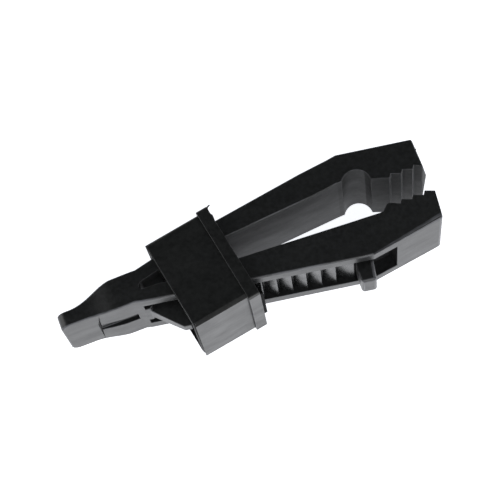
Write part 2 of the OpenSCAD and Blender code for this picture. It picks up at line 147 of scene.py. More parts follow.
def moulded_plastic(name, deep, pale, rub, gloss, rough, grain, seed, shine=0.5):
    """Black plastic with grain, streaked gloss, dull core faces, and lighter corners:
    wear and painted highlight.
    """
    material = bpy.data.materials.new(name)
    material.use_nodes = True
    tree = material.node_tree
    tree.nodes.clear()
    place = add(tree, "ShaderNodeTexCoord")
    along = add(tree, "ShaderNodeMapping", None, Vector=(place, "Object"),
                Location=(seed, seed * 0.37, 0), Scale=(0.3, 1, 1),
                Rotation=(0, 0, -0.17))
    # Streaks a few millimetres wide and three times as long: the flow of the melt
    flow = add(tree, "ShaderNodeTexNoise", None, Vector=(along, "Vector"),
               Scale=FLOW_SCALE * PER_METRE, Detail=3.0, Roughness=0.6)
    # Grain of the cavity's skin
    skin = add(tree, "ShaderNodeTexNoise", None, Vector=(place, "Object"),
               Scale=GRAIN_SCALE * PER_METRE, Detail=2.0, Roughness=0.6)
    # Cloudy tint, from pigment that is not quite mixed
    cloud = add(tree, "ShaderNodeTexNoise", None, Vector=(place, "Object"),
                Scale=CLOUD_SCALE * PER_METRE, Detail=3.0, Roughness=0.7)
    # Rounded faces get the lighter rub colour: finger wear, and a painted highlight
    # along the edge
    rubbed_and_highlit = add(tree, "ShaderNodeAttribute", {"attribute_name": "rubbed_and_highlit"})
    dull = add(tree, "ShaderNodeAttribute", {"attribute_name": "dull"})
    patchy = grey_range(tree, (flow, "Fac"), 0.1, 1.0, 0.42, 0.6)
    worn_and_highlit = add(tree, "ShaderNodeMath", {"operation": "MULTIPLY"},
               at_0=(rubbed_and_highlit, "Fac"), at_1=(patchy, "Result"))
    mixed = grey_range(tree, (cloud, "Fac"), 0.0, 1.0, 0.36, 0.64)
    tint = add(tree, "ShaderNodeMix", {"data_type": "RGBA"}, Factor=(mixed, "Result"),
               at_6=linear(deep), at_7=linear(pale))
    scuffed_and_highlit = add(tree, "ShaderNodeMix", {"data_type": "RGBA"}, Factor=(worn_and_highlit, "Value"),
                  at_6=(tint, 2), at_7=linear(rub))
    streaks = grey_range(tree, (flow, "Fac"), gloss, rough, 0.32, 0.68)
    # Core faces scatter wider, so they mirror less of the bright floor
    duller = add(tree, "ShaderNodeMath", {"operation": "MULTIPLY_ADD"},
                 at_0=(dull, "Fac"), at_1=DULL_ADDS, at_2=(streaks, "Result"))
    height = add(tree, "ShaderNodeMath", {"operation": "MULTIPLY_ADD"},
                 at_0=(flow, "Fac"), at_1=0.6, at_2=(skin, "Fac"))
    bump = add(tree, "ShaderNodeBump", None, Height=(height, "Value"),
               Strength=grain, Distance=BUMP_DEPTH * MM)
    shader = add(tree, "ShaderNodeBsdfPrincipled", None, Base_Color=(scuffed_and_highlit, 2),
                 Roughness=(duller, "Value"), IOR=1.5, Specular_IOR_Level=shine,
                 Normal=(bump, "Normal"))
    add(tree, "ShaderNodeOutputMaterial", None, Surface=(shader, "BSDF"))
    return material


# The clip's nylon gives the eye a satin near-black with a faint cold grain
# The rub colour lightens the rounded edges: wear, and a painted highlight
satin_nylon = moulded_plastic(
    "satin_black_moulded_nylon", deep="#0B0C0C", pale="#1D1E1F", rub="#505155",
    gloss=0.32, rough=0.41, grain=0.26, seed=0.0)
# The collar comes from another tool: a touch smoother, streaks in other places
collar_nylon = moulded_plastic(
    "smooth_black_moulded_nylon", deep="#0B0C0C", pale="#1C1D1D", rub="#2B2C2F",
    gloss=0.28, rough=0.42, grain=0.2, seed=0.031)
# The catch gets a deeper black that mirrors little: painted shade, for the shade it
# sits in by the channel
catch_nylon_painted_shade = moulded_plastic(
    "matt_black_painted_shade_nylon", deep="#080909", pale="#101111", rub="#151617",
    gloss=0.7, rough=0.85, grain=0.4, seed=0.052, shine=0.08)
for name, solid in nodes.items():
    solid.data.materials.clear()
    solid.data.materials.append(collar_nylon if name.startswith("collar_")
                                else satin_nylon)
print("materials:", satin_nylon.name, collar_nylon.name, catch_nylon_painted_shade.name)

# %% [markdown]
# ## Where things are
# The clip is drawn from the root of the slit between its arms, and lies
# shifted in the model so that its outline is centred. The collar is drawn in
# axes turned by ten degrees. The functions below bring a point of a mesh back
# to those drawing axes, in millimetres, where the corners are easy to name.

# %% Drawing axes of the clip and of the collar
DRAWN_AT = Vector((-26.25, 2.36181, 13.35))
BACK_SLOPE, HEAD_SLOPE = math.radians(9.6), math.radians(8)
BACK_AT_ROOT = 4.5
COLLAR_TURN = math.radians(10)
CHANNEL_HALF, CHANNEL_DEEP = 7.2, 2.5
X, Y = 0, 1


def clip_axes(point):
    """Along the clip, across it, and up from its middle plane."""
    return point / MM - DRAWN_AT


def back_axes(point):
    """Along the ratchet arm's back, into the arm, and up."""
    p = clip_axes(point) + Vector((0, BACK_AT_ROOT, 0))
    c, s = math.cos(BACK_SLOPE), math.sin(BACK_SLOPE)
    return Vector((p.x * c - p.y * s, p.x * s + p.y * c, p.z))


def collar_axes(point):
    """Along the collar, across it, and up."""
    p = clip_axes(point)
    c, s = math.cos(COLLAR_TURN), math.sin(COLLAR_TURN)
    return Vector((p.x * c + p.y * s, p.y * c - p.x * s, p.z))


for name in ("stop_peg", "collar_flange"):
    low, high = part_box(name)
    print(name, "spans mm", [round(v, 1) for v in clip_axes(Vector(low))],
          [round(v, 1) for v in clip_axes(Vector(high))])

# %% [markdown]
# ## Softened edges
# No moulded edge is sharp: the cavity's corners are cut with a small tool, and
# the light catches them as thin lines. Each solid is copied, its triangles
# are merged back to flat faces, and a rule gives each sharp edge its radius.
# An edge where the solid was only cut from its neighbour gets none, so that
# the two still meet. A Bevel modifier then rounds the edges by those weights,
# and weighted normals keep the big faces flat in the light. The rounded faces
# are marked to be painted lighter, as finger wear and as a painted highlight,
# and the faces that a rule names are marked as dull.

# %% Functions that round the edges of a mesh
# The width in mm that a bevel weight of 1 stands for
WIDEST = 1.0
# Points nearer than this, in mm, are taken to lie at the same place
SAME = 0.02
# Corners of the mesh closer than WELD mm are one, and bends below FLAT_BEND are none
WELD, FLAT_BEND = 0.002, math.radians(0.35)
# How many radii around a corner the rounding is narrowed at a seam
SEAM_REACH = 1.6


def both(a, b, axis, value, slack=SAME):
    """Whether an edge lies in the plane where one axis has a value."""
    return abs(a[axis] - value) < slack and abs(b[axis] - value) < slack


def merged(node):
    """A bmesh of a node with its triangles merged back to flat faces."""
    bm = bmesh.new()
    bm.from_mesh(nodes[node].data)
    bmesh.ops.remove_doubles(bm, verts=bm.verts, dist=WELD * MM)
    bmesh.ops.dissolve_limit(bm, angle_limit=FLAT_BEND, verts=bm.verts, edges=bm.edges)
    return bm


def sliced(bm, place, normal, exactness=1e-7, **dropped):
    """Cuts all of a bmesh by a plane; clear_inner or clear_outer drops a side,
    and the hole is closed."""
    bmesh.ops.bisect_plane(bm, geom=bm.verts[:] + bm.edges[:] + bm.faces[:],
                           dist=exactness, plane_co=place, plane_no=normal, **dropped)
    if dropped:
        bmesh.ops.holes_fill(bm, edges=[e for e in bm.edges if e.is_boundary])


def seam_corners(bm, axes, layer, seam):
    """Corners in the seam plane from which a rounded edge starts."""
    axis, value = seam[:2]
    found = []
    for edge in bm.edges:
        ends = [v for v in edge.verts if abs(axes(v.co)[axis] - value) < SAME]
        if len(ends) == 1 and edge[layer] > 0:
            found.append((ends[0].co.copy(), edge[layer] * WIDEST * MM))
    return found


def finish_mesh(piece, axes, dull, corners, seam):
    """Marks the rounded faces for the lighter colour of wear and painted highlight, and
    the dull faces, and narrows the rounding at the seam.
    """
    mesh = piece.data
    for vert in mesh.vertices:
        if seam and abs(axes(vert.co)[seam[0]] - seam[1]) < SAME:
            for corner, radius in corners:
                if (vert.co - corner).length < SEAM_REACH * radius:
                    narrower = min(1, seam[2] * MM / radius)
                    vert.co = corner + (vert.co - corner) * narrower
                    break
    # Rounded faces are marked for the lighter colour: wear, and a painted highlight
    rubbed_and_highlit = mesh.attributes.new("rubbed_and_highlit", "FLOAT", "FACE")
    matt = mesh.attributes.new("dull", "FLOAT", "FACE")
    for face in mesh.polygons:
        rubbed_and_highlit.data[face.index].value = float(face.material_index == 1)
        matt.data[face.index].value = float(dull(face.normal, axes(face.center)))
        face.material_index = 0


def rounded(bm, name, rule, axes=clip_axes, segments=3, sharp_from=25, seam=None,
            dull=lambda normal, place: 0):
    """Turns a bmesh into an object with edges rounded by rule(a, b), in
    millimetres. seam is an axis, a value and a radius: there, the rounding of
    the edges that end in that plane narrows to that radius."""
    layer = (bm.edges.layers.float.get("bevel_weight_edge")
             or bm.edges.layers.float.new("bevel_weight_edge"))
    for edge in bm.edges:
        edge.smooth = True
        sharp = (len(edge.link_faces) == 2
                 and edge.calc_face_angle(0) >= math.radians(sharp_from))
        if sharp:
            radius = rule(*(axes(v.co) for v in edge.verts))
            edge[layer] = radius / WIDEST
            edge.smooth = radius > 0
    for face in bm.faces:
        face.smooth = True
        face.material_index = 0
    corners = seam_corners(bm, axes, layer, seam) if seam else []
    mesh = bpy.data.meshes.new(name)
    bm.to_mesh(mesh)
    bm.free()
    # One slot for the faces that stay, and one for the rounded faces
    for _ in range(2):
        mesh.materials.append(None)
    piece = bpy.data.objects.new(name, mesh)
    scene.collection.objects.link(piece)
    bevel = piece.modifiers.new("round", "BEVEL")
    bevel.limit_method, bevel.width = "WEIGHT", WIDEST * MM
    bevel.segments, bevel.use_clamp_overlap = segments, False
    bevel.miter_outer, bevel.loop_slide, bevel.material = "MITER_SHARP", True, 1
    normals = piece.modifiers.new("flat", "WEIGHTED_NORMAL")
    normals.keep_sharp, normals.weight = True, 100
    finished = bpy.data.meshes.new_from_object(
        piece.evaluated_get(bpy.context.evaluated_depsgraph_get()))
    piece.modifiers.clear()
    piece.data = finished
    finished.name = name
    finish_mesh(piece, axes, dull, corners, seam)
    marks = sum(f.value > 0 for f in finished.attributes["rubbed_and_highlit"].data)
    print(f"{name}: {len(finished.polygons)} faces, {marks} of them rounded")
    return piece


def softened(node, rule, axes=clip_axes, move=None, **options):
    """A copy of a node with softened edges; move(point) may shift a corner."""
    bm = merged(node)
    if move:
        for vert in bm.verts:
            vert.co += move(axes(vert.co)) * MM
    return rounded(bm, node + "_moulded", rule, axes, **options)


def dress(piece, node, body, material):
    """Gives a finished piece its plastic and puts it in its node's place."""
    piece.data.materials.clear()
    piece.data.materials.append(material)
    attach(piece, body)
    if node:
        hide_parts(node)


# %% [markdown]
# ## The clip's arms
# The arms are long bars. The corners of the ratchet arm's back are rounded by
# almost half a millimetre and the rims of its channel by a third of that. The
# faces that look at the other arm were formed by the mould's core, so their
# edges are crisp and they are dull.

# %% Round the ratchet arm and its root
# Where the clip was cut into nodes, and where the ratchet arm's back bends
CUT_TAB, CUT_ARM, BEND_LOW, CUT_UP = -4.0, 8.4, 52.9, 51.3
# Radii in mm: the arm's back, plain edges, small edges, rims, crisp core edges
BACK_R, PLAIN_R, SMALL_R, RIM_R, CRISP_R = 0.45, 0.3, 0.2, 0.14, 0.12
# The socket lies in front of the first, below the second and above the third
SOCKET_X, SOCKET_TOP, SOCKET_LOW = -1.9, 3.7, -0.9
# The slit lies in front of the first and above the second
SLIT_X, SLIT_LOW = -0.1, -2.2
# How steeply a face must look at the other arm to count as the core's
CORE_Y = 0.4


def in_channel(a, b):
    """Edges of the channel, which is cut square into the arm's back."""
    return abs(a.z) < CHANNEL_HALF + 0.05 and abs(b.z) < CHANNEL_HALF + 0.05


def on_back(a, b):
    """Whether an edge lies in the arm's back, before or behind the bend."""
    def depth(p):
        """How far a point lies inside the back's two planes."""
        back_y = -BACK_AT_ROOT - min(p.x, BEND_LOW) * math.tan(BACK_SLOPE)
        return p.y - back_y - max(0, p.x - BEND_LOW) * math.tan(HEAD_SLOPE)
    return abs(depth(a)) < 0.1 and abs(depth(b)) < 0.1


def rim(a, b):
    """The channel's rim is eased by the cutter, and its floor is left sharp."""
    return RIM_R if on_back(a, b) else 0


def faces_up(normal, place):
    """Faces of the ratchet arm that the core formed."""
    return normal.y > CORE_Y and place.x > 0


def faces_down(normal, place):
    """Faces of the plain arm that the core formed."""
    return 0.8 * (normal.y < -CORE_Y)


def lower_arm_rule(a, b):
    """Round on the back, small elsewhere, and none where the arm was cut off."""
    if both(a, b, X, CUT_ARM) or both(a, b, X, BEND_LOW):
        return 0
    if in_channel(a, b):
        return rim(a, b)
    return BACK_R if on_back(a, b) else SMALL_R


def root_rule(a, b):
    """The root: its socket stays sharp, because the web fills it."""
    if both(a, b, X, CUT_TAB) or both(a, b, X, CUT_ARM):
        return 0
    rear, lowest, highest = min(a.x, b.x), min(a.y, b.y), max(a.y, b.y)
    if rear > SOCKET_X and highest < SOCKET_TOP and lowest > SOCKET_LOW:
        return 0
    if in_channel(a, b):
        return RIM_R
    if rear > SLIT_X and lowest > SLIT_LOW:
        return CRISP_R
    return BACK_R if highest < 0 else PLAIN_R


lower_arm = softened("lower_arm", lower_arm_rule, dull=faces_up)
spring_root = softened("spring_root", root_rule, dull=faces_up)
dress(lower_arm, "lower_arm", "clip_base", satin_nylon)
dress(spring_root, "spring_root", "clip_base", satin_nylon)

# %% [markdown]
# ## The finger tab
# The tab is what a finger and a thumb hold, so its edges are rounder than the
# arm's. The narrow recess along its middle keeps the cutter's small radius.

# %% Round the finger tab
TAB_R, RECESS_HALF = 0.4, 2.1


def tab_rule(a, b):
    """Round all about, and eased in the recess."""
    if both(a, b, X, CUT_TAB):
        return 0
    in_recess = abs(a.z) < RECESS_HALF and abs(b.z) < RECESS_HALF
    return RIM_R if in_recess else TAB_R


finger_tab = softened("finger_tab", tab_rule)
dress(finger_tab, "finger_tab", "clip_base", satin_nylon)

# %% [markdown]
# ## The jaws
# The teeth are small steps, so they get only a small radius. The head behind
# them is pressed by fingers and is softened more: a facet that starts at
# nothing and widens forward runs along its upper back edge, and its lower
# back edge gets a large radius. That radius starts at the bend of the arm,
# where it narrows to the arm's own, like the end of a fillet.

# %% Round the lower jaw
HEAD_R, FACET_R = 0.8, 0.35
# Edges above TEETH_Y belong to the teeth, and short of PAD_X those above PAD_Y
# belong to the pad; the edges of the channel and the pocket lie below POCKET_Y
TEETH_Y, PAD_Y, PAD_X, POCKET_Y = -4.3, -6.0, 60, -5
# The facet along the head's upper edge: its start, and its two front corners
FACET = (Vector((52.9, -13.447, 10.68)), Vector((73, -9.55, 10.82)),
         Vector((73, -10.62, 10.46)))


def with_facet(node):
    """The node with its upper back edge cut by a facet that widens forward."""
    bm = merged(node)
    start, above, below = FACET
    outward = (below - start).cross(above - start).normalized()
    sliced(bm, (DRAWN_AT + start) * MM, outward, clear_outer=True)
    print("the facet faces", [round(c, 2) for c in outward])
    return bm


def lower_jaw_rule(a, b):
    """Crisp teeth and pad, plain edges across, and a softer head."""
    if both(a, b, X, BEND_LOW):
        return 0
    highest = max(a.y, b.y)
    if in_channel(a, b) and highest < POCKET_Y:
        return rim(a, b)
    if highest > TEETH_Y or min(a.x, b.x) < PAD_X and highest > PAD_Y:
        return CRISP_R
    if a.z * b.z < 0:
        return PLAIN_R
    return FACET_R if a.z > 0 else HEAD_R


lower_jaw = rounded(with_facet("lower_jaw"), "lower_jaw_moulded", lower_jaw_rule,
                    segments=4, sharp_from=12, seam=(X, BEND_LOW, 0.45), dull=faces_up)
dress(lower_jaw, "lower_jaw", "clip_base", satin_nylon)

# %% [markdown]
# ## The plain arm
# The plain arm's solid ends in the round head that stands for the hinge. The
# copy is cut off just in front of it, where the web takes over. Its long
# faces lean a little less than the solid's, which makes the upper edges
# fuller, and its inner edges are crisp behind the collar and rounder in front
# of it, where fingers rub them and their lighter rounding paints a highlight.
# The ridge of the nose is drawn up, and the cut of the nose is dull.

# %% Round the upper arm and the upper jaw
# Where the arm leaves the root, and how steeply its inner face rises from there
ROOT_X, FACE_RISE = 0.45, 0.2405
# The stretch under the collar, the end of the straight lean, and the change of lean
UNDER_COLLAR, STRAIGHT_TO, LESS_LEAN = (9.0, 13.0), 44.0, 0.27
# Inner edges behind, under and in front of the collar
INNER_R = (0.06, 0.24, 0.38)
# The tip's back corner and the jaw's back edges
TIP_R, JAW_BACK_R = 0.5, 0.25
# In front of NOSE_X lies the nose, and edges below TEETH_UP_Y belong to the teeth
NOSE_X, TEETH_UP_Y = 71, 7.6


def on_inner_face(place):
    """Whether a point lies on the slit's side of the arm's middle."""
    return place.y < 2.2 + 0.15 * place.x


def upper_arm_rule(a, b):
    """The inner edges are crisp behind the collar, and rounder in front of it where
    fingers rub them.
    """
    if both(a, b, X, CUT_UP) or a.x < ROOT_X + 0.05 and b.x < ROOT_X + 0.05:
        return 0
    if not (on_inner_face(a) and on_inner_face(b)):
        return PLAIN_R
    middle = (a.x + b.x) / 2
    return INNER_R[sum(middle >= x for x in UNDER_COLLAR)]


def upper_jaw_rule(a, b):
    """Crisp teeth, a plain back, and a rounder corner at the tip."""
    if both(a, b, X, CUT_UP):
        return 0
    if min(a.x, b.x) > NOSE_X and abs(a.z - b.z) > 5:
        return TIP_R if min(a.y, b.y) > 7 else CRISP_R
    return CRISP_R if max(a.y, b.y) < TEETH_UP_Y else JAW_BACK_R


def fuller_nose(place):
    """Draws the ridge of the nose back a little, and up."""
    on_ridge = place.x > NOSE_X + 1 and abs(place.z) < 0.05
    return Vector((-0.3, 0, 2.6)) if on_ridge else Vector()


def core_and_nose(normal, place):
    """The core's faces, and the nose, which was cut with the duller tool."""
    return 1.8 if abs(normal.x) > 0.8 else 1.0 * (normal.y < -CORE_Y)


def without_knuckle(node):
    """The node cut off just in front of the round end that it turns on."""
    bm = merged(node)
    start = (DRAWN_AT + Vector((ROOT_X + 0.03, 0, 0))) * MM
    sliced(bm, start, (1, 0, 0), clear_inner=True)
    for x in UNDER_COLLAR + (STRAIGHT_TO,):
        sliced(bm, (DRAWN_AT + Vector((x, 0, 0))) * MM, (1, 0, 0))
    # Both long faces lean a little less than the solid's, the inner one up to
    # the seat, and the back from under the collar on
    for vert in bm.verts:
        place = clip_axes(vert.co)
        part = min(1, (CUT_UP - place.x) / (CUT_UP - STRAIGHT_TO))
        if place.z > 5 and on_inner_face(place):
            vert.co.y -= LESS_LEAN * part * MM
        elif place.z > 5 and place.x > UNDER_COLLAR[1] - 0.5:
            vert.co.y += LESS_LEAN * part * MM
    return bm


upper_arm = rounded(without_knuckle("upper_arm"), "upper_arm_moulded", upper_arm_rule,
                    dull=faces_down)
upper_jaw = softened("upper_jaw", upper_jaw_rule, move=fuller_nose, dull=core_and_nose)
dress(upper_arm, "upper_arm", "plain_arm", satin_nylon)
dress(upper_jaw, "upper_jaw", "plain_arm", satin_nylon)

# %% [markdown]
# ## The web that bends
# On the real clip the plain arm has no joint: it grows out of the root, and
# the plastic between them bends by a few degrees when the collar slides
# forward. The solids stand for that with a round end turning in a socket, a
# quarter of a millimetre apart. Here one closed web fills the socket. It
# reaches a little way into the arm, so no gap opens when the arm bends, and
# its front is the hollow round end of the slit, which follows the lean of the
# arm's inner face from side to side. It is drawn at both side faces and
# joined up, so each side face leans with the arm's.

# %% Make the web
# The hinge's centre and radius, and the web's own radius in the socket
ROOT_Y, ROOT_R, SOCKET_R = 1.56437, 1.8569, 2.1269
HALF_WIDTH, SIDE_LEAN = 11.15, math.tan(math.radians(2))
# The round end of the slit, how far the web reaches into the arm, and how far
# it stays inside the arm's faces there
SLIT_END_R, REACH, INSIDE = 1.3, 1.7, 0.03
WEB_R, SLIT_R = 0.3, 0.15


def web_outline(face_y, steps=10):
    """The web seen from above; face_y is the height of the arm's inner face."""
    points = [(ROOT_X, ROOT_Y + ROOT_R)]
    top = math.pi - math.asin(ROOT_R / SOCKET_R)
    low = math.pi + math.acos((0.02 + ROOT_X) / SOCKET_R)
    for i in range(2 * steps + 1):
        turn = top + (low - top) * i / (2 * steps)
        points.append((ROOT_X + SOCKET_R * math.cos(turn),
                       ROOT_Y + SOCKET_R * math.sin(turn)))
    slope = math.atan(FACE_RISE)
    corner = face_y - ROOT_X * FACE_RISE
    middle = corner - SLIT_END_R * math.tan(math.pi / 4 - slope / 2)
    for i in range(steps + 1):
        turn = math.pi - (math.pi / 2 - slope) * i / steps
        points.append((SLIT_END_R * (1 + math.cos(turn)),
                       middle + SLIT_END_R * math.sin(turn)))
    points.append((REACH, face_y + (REACH - ROOT_X) * FACE_RISE + INSIDE))
    points.append((REACH, ROOT_Y + ROOT_R + (REACH - ROOT_X) * FACE_RISE - INSIDE))
    return points


def web_mesh():
    """The outlines at the two side faces, joined up and leaned with the arm."""
    bm = bmesh.new()
    sides = []
    upper_face = ROOT_Y - ROOT_R - LESS_LEAN + 2 * HALF_WIDTH * SIDE_LEAN
    for side, face_y in ((1, upper_face), (-1, ROOT_Y - ROOT_R)):
        sides.append([bm.verts.new((x, y, side)) for x, y in web_outline(face_y)])
    count = len(sides[0])
    bm.faces.new(sides[0])
    bm.faces.new(reversed(sides[1]))
    for i in range(count):
        j = (i + 1) % count
        bm.faces.new((sides[0][j], sides[0][i], sides[1][i], sides[1][j]))
    sliced(bm, (0, 0, 0), (0, 1, 0), exactness=1e-5)
    bmesh.ops.recalc_face_normals(bm, faces=bm.faces[:])
    for vert in bm.verts:
        x, y, side = vert.co
        half = HALF_WIDTH - abs(y) * SIDE_LEAN - 0.01
        vert.co = (Vector((x, y, side * half)) + DRAWN_AT) * MM
    return bm


def web_rule(a, b):
    """Only the side edges that show are rounded: the back's and the slit's."""
    if a.z * b.z < 0 or min(a.x, b.x) < -0.7 or abs(a.z) < 10 or abs(b.z) < 10:
        return 0
    if min(a.y, b.y) > ROOT_Y + ROOT_R - 0.05 and abs(a.x - b.x) > 0.1:
        return WEB_R
    on_slit = max(a.y, b.y) < 1.0 and min(a.x, b.x) > -0.01
    return SLIT_R if on_slit else 0


flex_web = rounded(web_mesh(), "flex_web", web_rule)
dress(flex_web, None, "clip_base", satin_nylon)

# %% [markdown]
# ## The peg, the fin and the end ramp
# The peg and the fin stand on the ratchet arm's back. Their feet are moulded
# into the arm, so only what shows above the arm is rounded. The end ramp
# closes the row of ribs at its front. It is a little taller than the solid's
# and shines like the ribs.

# %% Round the stop peg, the ramp fin and the end ramp
CHANNEL_START = -0.6 / math.cos(BACK_SLOPE)
# The peg's middle along the back, and the depth below which a foot is buried
PEG_MIDDLE, BURIED = 51.5, 0.3
PEG_FRONT_R, RAMP_TALLER = 0.8, 0.35


def standing_rule(a, b):
    """Rounds what stands clear of the arm and of the channel's start."""
    buried = a.y > BURIED and b.y > BURIED
    return 0 if buried or both(a, b, X, CHANNEL_START) else SMALL_R


def peg_rule(a, b):
    """Thumbs wear the peg's upper front edge the most."""
    if a.y > BURIED and b.y > BURIED:
        return 0
    if abs(a.y - b.y) <= 1:
        return SMALL_R
    upper_front = min(a.z, b.z) > 0 and min(a.x, b.x) > PEG_MIDDLE
    return PEG_FRONT_R if upper_front else PLAIN_R


def polished(normal, place):
    """The ribs and their ramp shine a little more than the rest."""
    return -0.5


stop_peg = softened("stop_peg", peg_rule, back_axes)
ramp_fin = softened("ramp_fin", standing_rule, back_axes)
end_ramp = softened(
    "end_ramp", lambda a, b: 0, back_axes, sharp_from=40, dull=polished,
    move=lambda place: Vector((0, RAMP_TALLER * (place.y - CHANNEL_DEEP), 0)))
dress(stop_peg, "stop_peg", "clip_base", satin_nylon)
dress(ramp_fin, "ramp_fin", "clip_base", satin_nylon)
dress(end_ramp, "end_ramp", "clip_base", satin_nylon)

# %% [markdown]
# ## The ratchet ribs
# Ten ribs of one saw-tooth cutter cross the channel at an equal pitch, so one
# rib is drawn and repeated. The rib's long slope lets the catch ride forward,
# and its steep face holds it. The slope is slightly convex, as the cutter
# left it, and only the crest's front edge is rounded.

# %% Draw one rib
RIB_PITCH, RIB_COUNT, RIB_HEIGHT, RIB_CREST, RIB_FOOT = 3.5, 10, 1.7, 0.4, 0.25
FIRST_RIB = 44.0 / math.cos(BACK_SLOPE)
# Two points of the convex slope: pitches behind the crest, and parts of the height
SLOPE_POINTS = ((0.75, 0.34), (0.45, 0.7))
# How deep a rib is sunk into the channel's floor and sides, and its crest's radius
SUNK, CREST_R = 0.05, 0.16


def from_back(s, depth, z):
    """A model point from millimetres along the back, into the arm, and up."""
    c, n = math.cos(BACK_SLOPE), math.sin(BACK_SLOPE)
    drawn = Vector((s * c + depth * n, depth * c - s * n - BACK_AT_ROOT, z))
    return (drawn + DRAWN_AT) * MM


def one_rib():
    """A single saw-tooth rib, a little longer than the channel is wide."""
    floor_y, crest_y = CHANNEL_DEEP + SUNK, CHANNEL_DEEP - RIB_HEIGHT
    slope = [(FIRST_RIB - behind * RIB_PITCH, CHANNEL_DEEP - part * RIB_HEIGHT)
             for behind, part in SLOPE_POINTS]
    profile = [(FIRST_RIB - RIB_PITCH + 2 * RIB_FOOT, floor_y), *slope,
               (FIRST_RIB - RIB_CREST, crest_y), (FIRST_RIB, crest_y),
               (FIRST_RIB + RIB_FOOT, floor_y)]
    bm = bmesh.new()
    ends = [[bm.verts.new(from_back(s, d, z)) for s, d in profile]
            for z in (-CHANNEL_HALF - SUNK, CHANNEL_HALF + SUNK)]
    for end in ends:
        bm.faces.new(end)
    for i in range(len(profile)):
        j = (i + 1) % len(profile)
        bm.faces.new((ends[0][i], ends[0][j], ends[1][j], ends[1][i]))
    bmesh.ops.recalc_face_normals(bm, faces=bm.faces[:])
    return bm


def rib_rule(a, b):
    """Only the front edge of the crest is rounded."""
    crest = both(a, b, Y, CHANNEL_DEEP - RIB_HEIGHT, 0.05) and a.x > FIRST_RIB - 0.1
    return CREST_R if crest else 0


rib = rounded(one_rib(), "ratchet_ribs_moulded", rib_rule, back_axes, sharp_from=40,
              dull=polished)

# %% [markdown]
# ## The row of ribs
# A Geometry Nodes tree sets the ribs out along the arm's back and gives each
# its own wear, since the catch rests on some ribs more often than on others.
# That wear scales the lighter colour of the crest's rounded edge, which is
# also a painted highlight.
# Its inputs are the rib, how many there are, the step from one to the next,
# the least wear, the seed of the wear and the plastic. The result is made one
# plain mesh.

# %% Set the ribs out along the channel
LEAST_WEAR, WEAR_SEED = 0.3, 7


def rib_row_tree():
    """Instances of the incoming rib in a row, each with its own wear."""
    tree = bpy.data.node_groups.new("row_of_ratchet_ribs", "GeometryNodeTree")
    kinds = {"Rib": "Geometry", "Ribs": "Int", "Pitch": "Vector", "Least wear": "Float",
             "Seed": "Int", "Plastic": "Material"}
    keys = {label: tree.interface.new_socket(label, in_out="INPUT",
                                             socket_type="NodeSocket" + kind).identifier
            for label, kind in kinds.items()}
    tree.interface.new_socket("Row", in_out="OUTPUT", socket_type="NodeSocketGeometry")
    given = tree.nodes.new("NodeGroupInput")
    line = add(tree, "GeometryNodeMeshLine", None, Count=(given, "Ribs"),
               Offset=(given, "Pitch"))
    row = add(tree, "GeometryNodeInstanceOnPoints", None, Points=(line, "Mesh"),
              Instance=(given, "Rib"))
    wear = add(tree, "FunctionNodeRandomValue", {"data_type": "FLOAT"},
               at_2=(given, "Least wear"), at_3=1.0, Seed=(given, "Seed"))
    marked = add(tree, "GeometryNodeStoreNamedAttribute",
                 {"data_type": "FLOAT", "domain": "INSTANCE"},
                 Geometry=(row, "Instances"), Name="rib_wear", Value=(wear, 1))
    real = add(tree, "GeometryNodeRealizeInstances", None,
               Geometry=(marked, "Geometry"))
    # The crest's rounded edge is painted lighter, as wear and as a painted highlight,
    # by each rib's own amount
    edge = add(tree, "GeometryNodeInputNamedAttribute", {"data_type": "FLOAT"},
               Name="rubbed_and_highlit")
    own = add(tree, "GeometryNodeInputNamedAttribute", {"data_type": "FLOAT"},
              Name="rib_wear")
    both_marks = add(tree, "ShaderNodeMath", {"operation": "MULTIPLY"},
                     at_0=(edge, 0), at_1=(own, 0))
    worn_and_highlit = add(tree, "GeometryNodeStoreNamedAttribute",
               {"data_type": "FLOAT", "domain": "FACE"},
               Geometry=(real, "Geometry"), Name="rubbed_and_highlit", Value=(both_marks, "Value"))
    coated = add(tree, "GeometryNodeSetMaterial", None, Geometry=(worn_and_highlit, "Geometry"),
                 Material=(given, "Plastic"))
    leave = tree.nodes.new("NodeGroupOutput")
    tree.links.new(coated.outputs["Geometry"], leave.inputs["Row"])
    return tree, keys


tree, keys = rib_row_tree()
row = rib.modifiers.new("row", "NODES")
row.node_group = tree
step = from_back(-RIB_PITCH, 0, 0) - from_back(0, 0, 0)
for label, value in (("Ribs", RIB_COUNT), ("Pitch", step), ("Least wear", LEAST_WEAR),
                     ("Seed", WEAR_SEED), ("Plastic", satin_nylon)):
    row[keys[label]] = value
ribs_mesh = bpy.data.meshes.new_from_object(
    rib.evaluated_get(bpy.context.evaluated_depsgraph_get()))
rib.modifiers.clear()
rib.data = ribs_mesh
ribs_mesh.name = "ratchet_ribs_moulded"
dress(rib, "ratchet_ribs", "clip_base", satin_nylon)
print("ribs:", RIB_COUNT, "faces:", len(ribs_mesh.polygons),
      "attributes:", [a.name for a in ribs_mesh.attributes if a.domain == "FACE"])

# %% [markdown]
# ## The collar
# The collar's upper long corners are already round in the solid. The two low
# ones are flattened, and the low wall leans a little from one flat to the
# other. The slants at the rear end are drawn a little shorter than the
# solid's. What is missing then is the softening of the rims, front and back.
# The rear end, where the mould closed on itself, is dull, and the catch has
# a darker matt plastic of its own, which paints in the shade that it sits in.

# %% Round the collar, its flange and its catch
# The ends of the barrel and of the flange along the collar
COLLAR_BACK, FLANGE_BACK, FLANGE_FRONT = 5.65, 19.75, 22.6
# The low wall across, and how far the rear slants and their ease reach forward
LOW_WALL, RIM_SLOPE, RIM_EASE = -16.757, 0.8, 0.3
